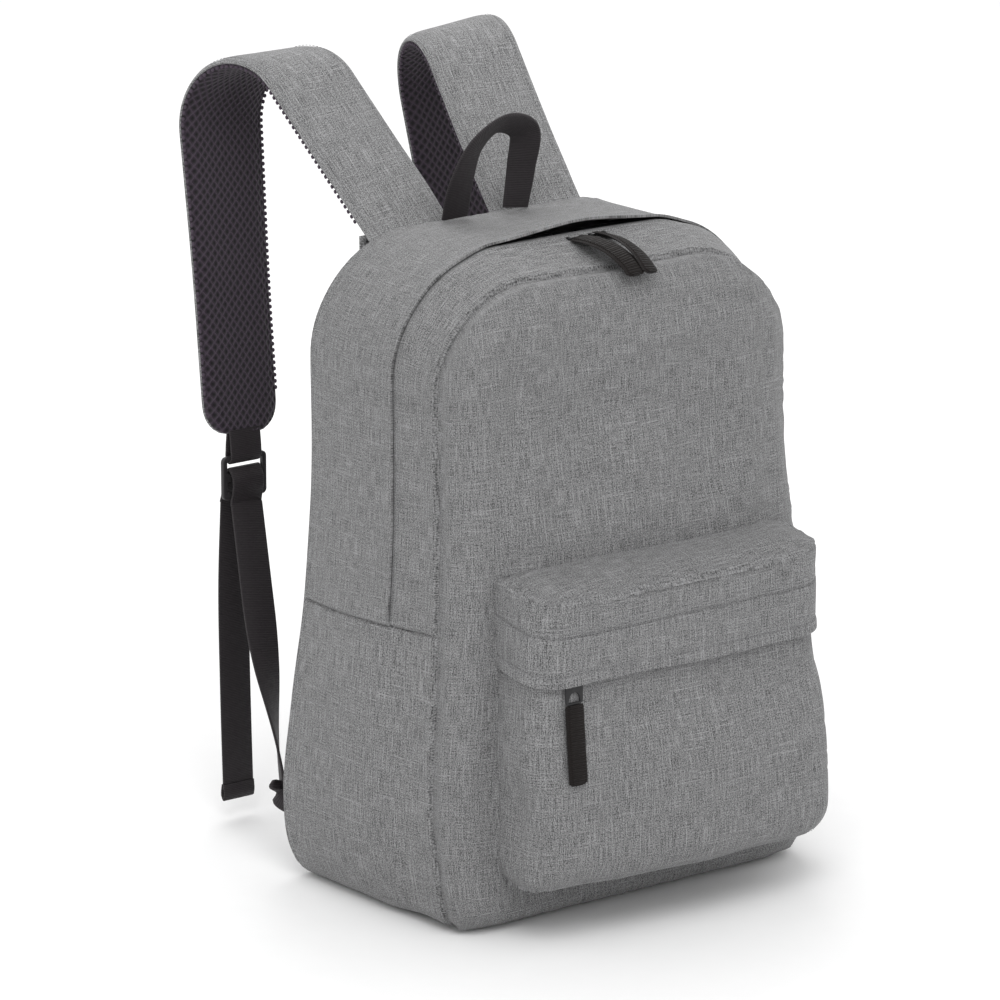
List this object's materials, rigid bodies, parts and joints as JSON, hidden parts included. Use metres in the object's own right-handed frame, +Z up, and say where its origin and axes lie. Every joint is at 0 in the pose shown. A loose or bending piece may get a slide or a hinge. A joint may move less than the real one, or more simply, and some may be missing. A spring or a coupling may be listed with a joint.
{
  "type": "daypack",
  "caption": "Grey heathered daypack with an arched main zip, a zipped front pocket under a rain flap, padded shoulder straps and a haul loop.",
  "frame": {"origin": "middle of the base on the ground, below the main bag", "axes": "+Z up, -Y towards the front pocket, +X to the right of somebody facing the front"},
  "size_m": [0.3292, 0.3932, 0.5364],
  "materials": {
    "heather_cloth": "heathered grey plain-weave polyester",
    "spacer_mesh": "black knitted spacer mesh",
    "webbing": "black ribbed polyester webbing",
    "foam": "closed-cell foam",
    "lining": "dark lining cloth",
    "board": "plastic board",
    "zip_coil": "black nylon coil and tape",
    "black_metal": "black painted zinc",
    "lock_plastic": "black moulded plastic"
  },
  "bodies": {
    "pack": {"back_panel": "heather_cloth", "back_foam": "foam", "back_mesh": "spacer_mesh", "back_pad_core": "foam", "strap_yoke": "webbing", "base_panel": "heather_cloth", "side_panel_left": "heather_cloth", "side_panel_right": "heather_cloth", "base_board": "board", "rear_gusset": "heather_cloth", "front_gusset": "heather_cloth", "zip_tape_front": "zip_coil", "zip_tape_rear": "zip_coil", "zip_teeth_front": "zip_coil", "zip_teeth_rear": "zip_coil", "zip_bottom_stops": "black_metal", "front_panel": "heather_cloth", "inner_sleeve": "lining", "pocket_front": "heather_cloth", "pocket_upper_band": "heather_cloth", "pocket_gusset_bottom": "heather_cloth", "pocket_top_panel": "heather_cloth", "pocket_flap_fold": "heather_cloth", "pocket_flap_corner_left": "heather_cloth", "pocket_flap_corner_right": "heather_cloth", "pocket_zip_teeth_lower": "zip_coil", "pocket_zip_teeth_upper": "zip_coil", "pocket_zip_tape_lower": "zip_coil", "pocket_zip_tape_upper": "zip_coil", "strap_anchor_left": "webbing", "strap_anchor_right": "webbing"},
    "pocket_slider": {"pocket_slider_body": "black_metal", "pocket_bail": "black_metal"},
    "pocket_pull": {"pocket_pull": "webbing"},
    "pocket_flap": {"pocket_flap": "heather_cloth"},
    "haul_loop": {"haul_loop": "webbing"},
    "main_slider_left": {"main_slider_left": "black_metal", "main_bail_left": "black_metal"},
    "main_pull_left": {"main_pull_left": "webbing"},
    "strap_left": {"strap_cover_left": "heather_cloth", "strap_foam_left": "foam", "strap_mesh_left": "spacer_mesh", "lock_tab_left": "webbing", "strap_run_left": "webbing", "strap_tail_left": "webbing", "tail_hem_left": "webbing"},
    "lock_left": {"ladder_lock_left": "lock_plastic", "webbing_turn_left": "webbing"},
    "main_slider_right": {"main_slider_right": "black_metal", "main_bail_right": "black_metal"},
    "main_pull_right": {"main_pull_right": "webbing"},
    "strap_right": {"strap_cover_right": "heather_cloth", "strap_foam_right": "foam", "strap_mesh_right": "spacer_mesh", "lock_tab_right": "webbing", "strap_run_right": "webbing", "strap_tail_right": "webbing", "tail_hem_right": "webbing"},
    "lock_right": {"ladder_lock_right": "lock_plastic", "webbing_turn_right": "webbing"}
  },
  "joints": [
    {"name": "main_slider_left_slide", "type": "slide", "parent": "pack", "child": "main_slider_left", "axis": [-1, 0, 0], "range_m": [0, 0.058]},
    {"name": "main_slider_right_slide", "type": "slide", "parent": "pack", "child": "main_slider_right", "axis": [1, 0, 0], "range_m": [0, 0.046]},
    {"name": "main_pull_left_lift", "type": "hinge", "parent": "main_slider_left", "child": "main_pull_left", "pos_m": [-0.003, -0.0341, 0.437], "axis": [-1, 0, 0], "range_deg": [0, 120]},
    {"name": "main_pull_right_lift", "type": "hinge", "parent": "main_slider_right", "child": "main_pull_right", "pos_m": [0.015, -0.0341, 0.437], "axis": [-1, 0, 0], "range_deg": [0, 120]},
    {"name": "pocket_slider_slide", "type": "slide", "parent": "pack", "child": "pocket_slider", "axis": [1, 0, 0], "range_m": [0, 0.174]},
    {"name": "pocket_pull_lift", "type": "hinge", "parent": "pocket_slider", "child": "pocket_pull", "pos_m": [-0.088, -0.1475, 0.1644], "axis": [-1, 0, 0], "range_deg": [0, 85]},
    {"name": "pocket_flap_lift", "type": "hinge", "parent": "pack", "child": "pocket_flap", "pos_m": [0, -0.1498, 0.2078], "axis": [-1, 0, 0], "range_deg": [0, 45]},
    {"name": "haul_loop_fold", "type": "hinge", "parent": "pack", "child": "haul_loop", "pos_m": [0.002, 0.058, 0.4419], "axis": [1, 0, 0], "range_deg": [-10, 75]},
    {"name": "strap_left_swing", "type": "hinge", "parent": "pack", "child": "strap_left", "pos_m": [-0.065, 0.0797, 0.4412], "axis": [0.2149, -0.0254, 0.9763], "range_deg": [-12, 12]},
    {"name": "strap_right_swing", "type": "hinge", "parent": "pack", "child": "strap_right", "pos_m": [0.045, 0.0797, 0.4412], "axis": [0.2613, 0.0251, -0.9649], "range_deg": [-12, 12]},
    {"name": "lock_left_tilt", "type": "hinge", "parent": "strap_left", "child": "lock_left", "pos_m": [-0.115, 0.189, 0.2585], "axis": [1, 0, 0], "range_deg": [0, 25]},
    {"name": "lock_right_tilt", "type": "hinge", "parent": "strap_right", "child": "lock_right", "pos_m": [0.095, 0.189, 0.2585], "axis": [1, 0, 0], "range_deg": [0, 25]}
  ]
}
